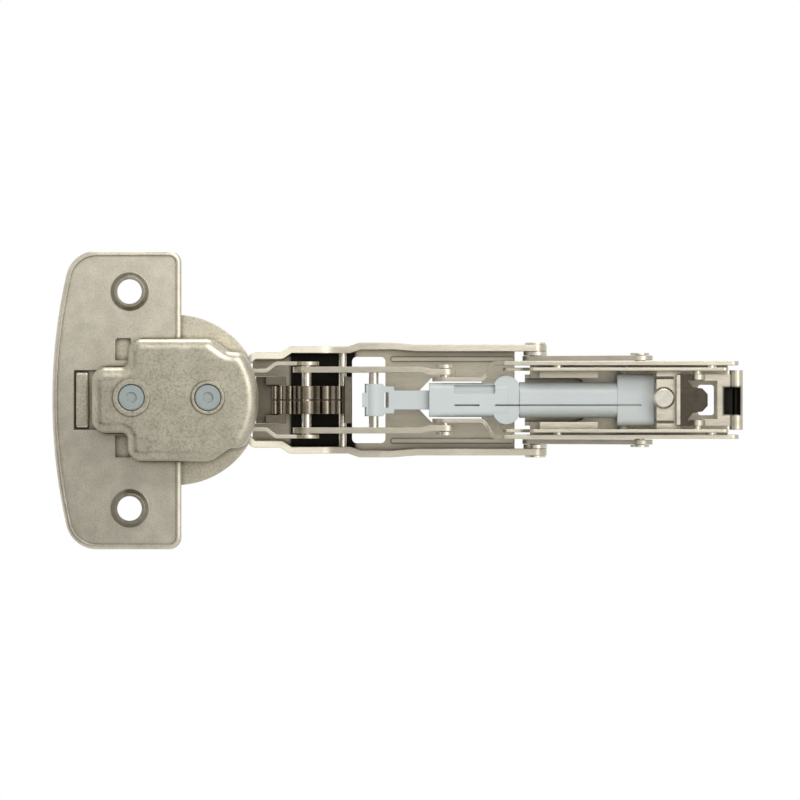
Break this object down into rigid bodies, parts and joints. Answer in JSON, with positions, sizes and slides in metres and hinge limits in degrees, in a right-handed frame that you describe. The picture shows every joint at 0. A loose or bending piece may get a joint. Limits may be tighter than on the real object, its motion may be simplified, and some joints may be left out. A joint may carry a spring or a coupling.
{
  "type": "concealed cup hinge",
  "caption": "Concealed wide-angle cabinet hinge with a drawn cup on a screw flange, folding lever linkage, spring pack, piston damper and clip-on channel arm.",
  "frame": {"origin": "Centre of the round cup bore on the face of the door.", "axes": "+X from the cup to the rear of the arm, +Y into the cabinet, away from the door, +Z along every pivot."},
  "size_m": [0.1437, 0.0402, 0.062],
  "materials": {
    "plated_sheet": "nickel-plated pressed steel",
    "plated_pin": "bright nickel-plated pin",
    "spring_steel": "oiled spring strip",
    "dark_spring": "blackened spring steel",
    "damper_plastic": "light blue-grey moulded plastic",
    "insert_plastic": "grey translucent plastic"
  },
  "bodies": {
    "base": {"base_channel": "plated_sheet", "lever_pin": "plated_pin", "lever_spring": "dark_spring", "guide_studs_front": "plated_pin", "guide_studs_rear": "plated_pin"},
    "cam": {"depth_cam": "plated_pin"},
    "release": {"release_lever": "plated_sheet"},
    "arm": {"arm": "plated_sheet", "arm_rivets": "plated_pin", "control_rivets": "plated_pin"},
    "inner": {"inner_lever_upper": "plated_sheet", "inner_lever_lower": "plated_sheet", "link_pin": "plated_pin", "crossing_pin": "plated_pin", "damper_pin": "plated_pin", "spring_pack_upper": "spring_steel", "spring_pack_lower": "spring_steel", "spring_holder": "plated_sheet"},
    "outer": {"outer_lever": "plated_sheet", "rear_rivets": "plated_pin"},
    "control": {"control_link_upper": "plated_sheet", "control_link_lower": "plated_sheet"},
    "link": {"spring_link_upper": "plated_sheet", "spring_link_lower": "plated_sheet"},
    "housing": {"damper_carrier": "damper_plastic", "damper_cylinder": "damper_plastic", "damper_tail": "damper_plastic"},
    "rod": {"damper_rod": "damper_plastic"},
    "cup": {"hinge_cup": "plated_sheet", "mounting_flange": "plated_sheet", "cup_insert": "insert_plastic", "cup_rivets": "plated_pin", "cup_pin": "plated_pin"}
  },
  "joints": [
    {"name": "depth_slide", "type": "slide", "parent": "base", "child": "arm", "axis": [1, 0, 0], "range_m": [-0.002, 0.002]},
    {"name": "cam_turn", "type": "hinge", "parent": "base", "child": "cam", "pos_m": [0.1015, 0.0034, 0.00045], "axis": [0, 1, 0], "range_deg": [-70, 70]},
    {"name": "lever_release", "type": "hinge", "parent": "base", "child": "release", "pos_m": [0.1086, 0.005, 0], "axis": [0, 0, 1], "range_deg": [0, 8], "stiffness_Nm_per_rad": 0.05},
    {"name": "inner_swing", "type": "hinge", "parent": "arm", "child": "inner", "pos_m": [0.05595, 0.009, 0], "axis": [0, 0, 1], "range_deg": [-46, 34]},
    {"name": "outer_swing", "type": "hinge", "parent": "inner", "child": "outer", "pos_m": [0.0344, 0.0215, 0], "axis": [0, 0, 1], "range_deg": [-34, 46]},
    {"name": "control_swing", "type": "hinge", "parent": "arm", "child": "control", "pos_m": [0.0968, 0.009, 0], "axis": [0, 0, 1], "range_deg": [-46, 34]},
    {"name": "link_swing", "type": "hinge", "parent": "inner", "child": "link", "pos_m": [0.027, 0.0115, 0], "axis": [0, 0, 1], "range_deg": [-41, 56]},
    {"name": "damper_swing", "type": "hinge", "parent": "arm", "child": "housing", "pos_m": [0.0934, 0.01, 0], "axis": [0, 0, 1], "range_deg": [-13, 10]},
    {"name": "rod_swing", "type": "hinge", "parent": "inner", "child": "rod", "pos_m": [0.0411, 0.01, 0], "axis": [0, 0, 1], "range_deg": [-25, 34]},
    {"name": "door_swing", "type": "hinge", "parent": "outer", "child": "cup", "pos_m": [0.0123, 0.0003, 0], "axis": [0, 0, 1], "range_deg": [-90, 65]}
  ],
  "couplings": [
    {"joint": "cam_turn", "follows": "depth_slide", "rad_per_m": 600},
    {"joint": "inner_swing", "follows": "door_swing", "ratio": 0.5},
    {"joint": "outer_swing", "follows": "door_swing", "ratio": -0.5},
    {"joint": "control_swing", "follows": "door_swing", "ratio": 0.5},
    {"joint": "link_swing", "follows": "door_swing", "ratio": -0.612},
    {"joint": "damper_swing", "follows": "door_swing", "ratio": 0.137},
    {"joint": "rod_swing", "follows": "door_swing", "ratio": -0.363}
  ]
}
